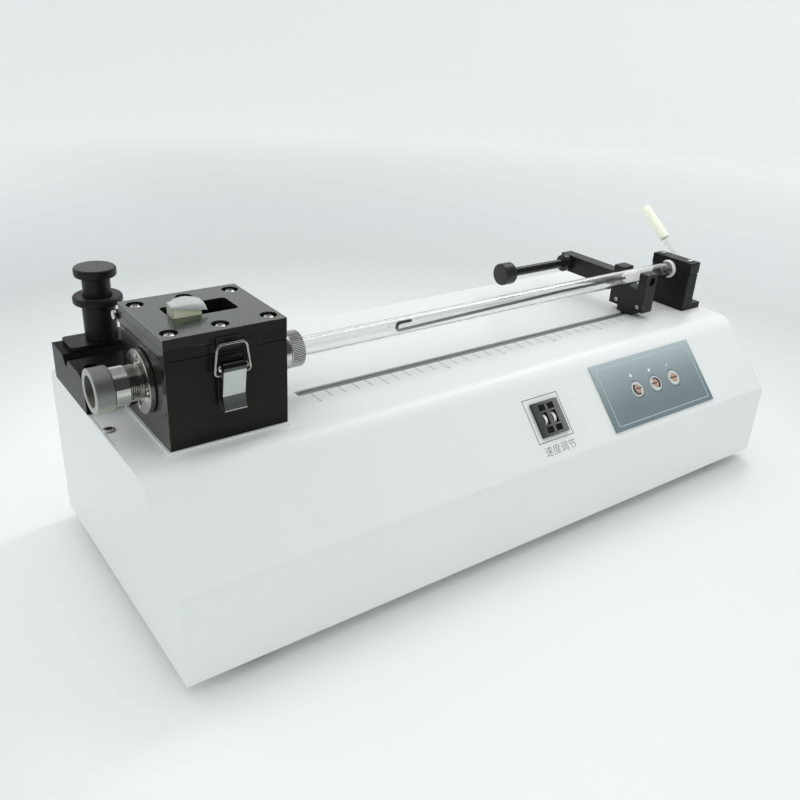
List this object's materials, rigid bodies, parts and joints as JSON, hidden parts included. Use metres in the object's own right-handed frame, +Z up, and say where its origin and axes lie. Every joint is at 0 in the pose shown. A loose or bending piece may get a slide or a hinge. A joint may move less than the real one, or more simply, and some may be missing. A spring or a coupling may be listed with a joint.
{
  "type": "tube furnace autosampler",
  "caption": "Benchtop sample feeder: sloped white case with a windowed entry chamber, long quartz tube, magnet carriage with pusher, and syringe clamp.",
  "frame": {"origin": "middle of the plane that the rubber feet stand on, under the centre of the whole part's box", "axes": "+X along the case to the right as seen from the sloping panel, +Y to the back, +Z up"},
  "size_m": [0.4984, 0.2036, 0.1835],
  "materials": {
    "case_white": "satin powder coat",
    "rubber_black": "matte",
    "strip_grey": "matte",
    "anodised_black": "satin black anodised",
    "oxide_black": "black oxide",
    "steel_bright": "polished",
    "steel_satin": "satin",
    "aluminium_matt": "bead blasted",
    "quartz": "clear",
    "acrylic": "clear, slightly yellow",
    "silicone": "translucent pale yellow",
    "overlay_grey": "satin film",
    "key_pale": "satin film",
    "plastic_black": "fine texture",
    "wheel_white": "matte",
    "board_green": "solder mask",
    "slug_white": "glazed"
  },
  "bodies": {
    "case": {"cover_shell": "case_white", "base_tray": "case_white", "chamber_seat_plate": "case_white", "foot_front_left": "rubber_black", "foot_front_right": "rubber_black", "foot_rear_left": "rubber_black", "foot_rear_right": "rubber_black", "slot_strip": "strip_grey", "chamber_body": "anodised_black", "chamber_seal": "rubber_black", "latch_base": "steel_bright", "port_flange": "steel_satin", "tube_collar": "steel_bright", "quartz_tube": "quartz", "side_sleeve": "silicone", "end_support": "anodised_black", "end_support_cap": "anodised_black", "syringe_holder": "anodised_black", "clamp_stud": "oxide_black", "clamp_spring": "steel_bright", "drive_frame": "aluminium_matt", "guide_rod": "steel_bright", "drive_motor": "plastic_black", "keypad_overlay": "overlay_grey", "thumbwheel_housing": "plastic_black", "control_board": "board_green", "power_supply": "steel_satin", "power_inlet": "plastic_black"},
    "lid": {"lid_frame": "anodised_black", "lid_top_plate": "anodised_black", "window_glass": "quartz", "lid_catch": "oxide_black", "injection_block": "acrylic", "hinge_pin": "steel_bright"},
    "lever": {"latch_lever": "steel_satin"},
    "bail": {"latch_bail": "steel_bright"},
    "port_cap": {"cap_nut": "aluminium_matt"},
    "port_lock_ring": {"lock_ring": "steel_bright"},
    "tube_nut": {"knurled_nut": "steel_satin"},
    "carriage": {"carriage_cradle": "anodised_black", "drive_magnet": "steel_satin", "carriage_arm": "anodised_black", "pusher_rod": "oxide_black", "pusher_knob": "plastic_black", "drive_nut": "plastic_black"},
    "boat": {"boat_rod": "steel_satin", "magnet_slug": "slug_white"},
    "screw": {"lead_screw": "steel_satin"},
    "clamp": {"clamp_sleeve": "oxide_black"},
    "clamp_foot": {"clamp_plate": "anodised_black"},
    "key_left": {"key_1": "key_pale"},
    "key_middle": {"key_2": "key_pale"},
    "key_right": {"key_3": "key_pale"},
    "wheel_tens": {"number_wheel_tens": "wheel_white"},
    "wheel_units": {"number_wheel_units": "wheel_white"},
    "step_up_tens": {"step_up_tens": "plastic_black"},
    "step_down_tens": {"step_down_tens": "plastic_black"},
    "step_up_units": {"step_up_units": "plastic_black"},
    "step_down_units": {"step_down_units": "plastic_black"},
    "rocker": {"rocker_switch": "plastic_black"}
  },
  "joints": [
    {"name": "lid_hinge", "type": "hinge", "parent": "case", "child": "lid", "pos_m": [-0.1848, 0.02618, 0.1673], "axis": [-1, 0, 0], "range_deg": [0, 105]},
    {"name": "latch_lever_turn", "type": "hinge", "parent": "case", "child": "lever", "pos_m": [-0.1846, -0.04642, 0.1564], "axis": [-1, 0, 0], "range_deg": [0, 150]},
    {"name": "latch_bail_turn", "type": "hinge", "parent": "lever", "child": "bail", "pos_m": [-0.1846, -0.04642, 0.15255], "axis": [-1, 0, 0], "range_deg": [-150, 0]},
    {"name": "cap_nut_turn", "type": "hinge", "parent": "case", "child": "port_cap", "pos_m": [-0.2438, -0.01032, 0.1418], "axis": [1, 0, 0], "continuous": true},
    {"name": "lock_ring_turn", "type": "hinge", "parent": "case", "child": "port_lock_ring", "pos_m": [-0.2348, -0.01032, 0.1418], "axis": [1, 0, 0], "continuous": true},
    {"name": "knurled_nut_turn", "type": "hinge", "parent": "case", "child": "tube_nut", "pos_m": [-0.1298, -0.01032, 0.1418], "axis": [1, 0, 0], "continuous": true},
    {"name": "carriage_slide", "type": "slide", "parent": "case", "child": "carriage", "axis": [-1, 0, 0], "range_m": [0, 0.285]},
    {"name": "boat_slide", "type": "slide", "parent": "case", "child": "boat", "axis": [-1, 0, 0], "range_m": [0, 0.285]},
    {"name": "lead_screw_turn", "type": "hinge", "parent": "case", "child": "screw", "pos_m": [0.0332, -0.01032, 0.069], "axis": [1, 0, 0], "range_deg": [0, 10260.01]},
    {"name": "clamp_lift", "type": "slide", "parent": "case", "child": "clamp", "axis": [0, 0, 1], "range_m": [0, 0.01], "stiffness_N_per_m": 600, "springref_m": -0.01, "deforming": ["clamp_spring"]},
    {"name": "clamp_swing", "type": "hinge", "parent": "clamp", "child": "clamp_foot", "pos_m": [-0.2153, 0.07398, 0.1354], "axis": [0, 0, 1], "range_deg": [0, 90]},
    {"name": "key_left_press", "type": "slide", "parent": "case", "child": "key_left", "axis": [0, 0.73, -0.6834], "range_m": [0, 0.0012], "stiffness_N_per_m": 600, "springref_m": -0.002},
    {"name": "key_middle_press", "type": "slide", "parent": "case", "child": "key_middle", "axis": [0, 0.73, -0.6834], "range_m": [0, 0.0012], "stiffness_N_per_m": 600, "springref_m": -0.002},
    {"name": "key_right_press", "type": "slide", "parent": "case", "child": "key_right", "axis": [0, 0.73, -0.6834], "range_m": [0, 0.0012], "stiffness_N_per_m": 600, "springref_m": -0.002},
    {"name": "wheel_tens_turn", "type": "hinge", "parent": "case", "child": "wheel_tens", "pos_m": [0.0208, -0.07828, 0.08388], "axis": [1, 0, 0], "continuous": true},
    {"name": "step_up_tens_press", "type": "slide", "parent": "case", "child": "step_up_tens", "axis": [0, 0.73, -0.6834], "range_m": [0, 0.0015], "stiffness_N_per_m": 600, "springref_m": -0.002},
    {"name": "step_down_tens_press", "type": "slide", "parent": "case", "child": "step_down_tens", "axis": [0, 0.73, -0.6834], "range_m": [0, 0.0015], "stiffness_N_per_m": 600, "springref_m": -0.002},
    {"name": "wheel_units_turn", "type": "hinge", "parent": "case", "child": "wheel_units", "pos_m": [0.0288, -0.07828, 0.08388], "axis": [1, 0, 0], "continuous": true},
    {"name": "step_up_units_press", "type": "slide", "parent": "case", "child": "step_up_units", "axis": [0, 0.73, -0.6834], "range_m": [0, 0.0015], "stiffness_N_per_m": 600, "springref_m": -0.002},
    {"name": "step_down_units_press", "type": "slide", "parent": "case", "child": "step_down_units", "axis": [0, 0.73, -0.6834], "range_m": [0, 0.0015], "stiffness_N_per_m": 600, "springref_m": -0.002},
    {"name": "rocker_tilt", "type": "hinge", "parent": "case", "child": "rocker", "pos_m": [0.1852, 0.09278, 0.0588], "axis": [1, 0, 0], "range_deg": [0, 18]}
  ],
  "couplings": [
    {"joint": "latch_bail_turn", "follows": "latch_lever_turn", "ratio": -1},
    {"joint": "boat_slide", "follows": "carriage_slide", "ratio": 1},
    {"joint": "lead_screw_turn", "follows": "carriage_slide", "rad_per_m": 628.32}
  ]
}
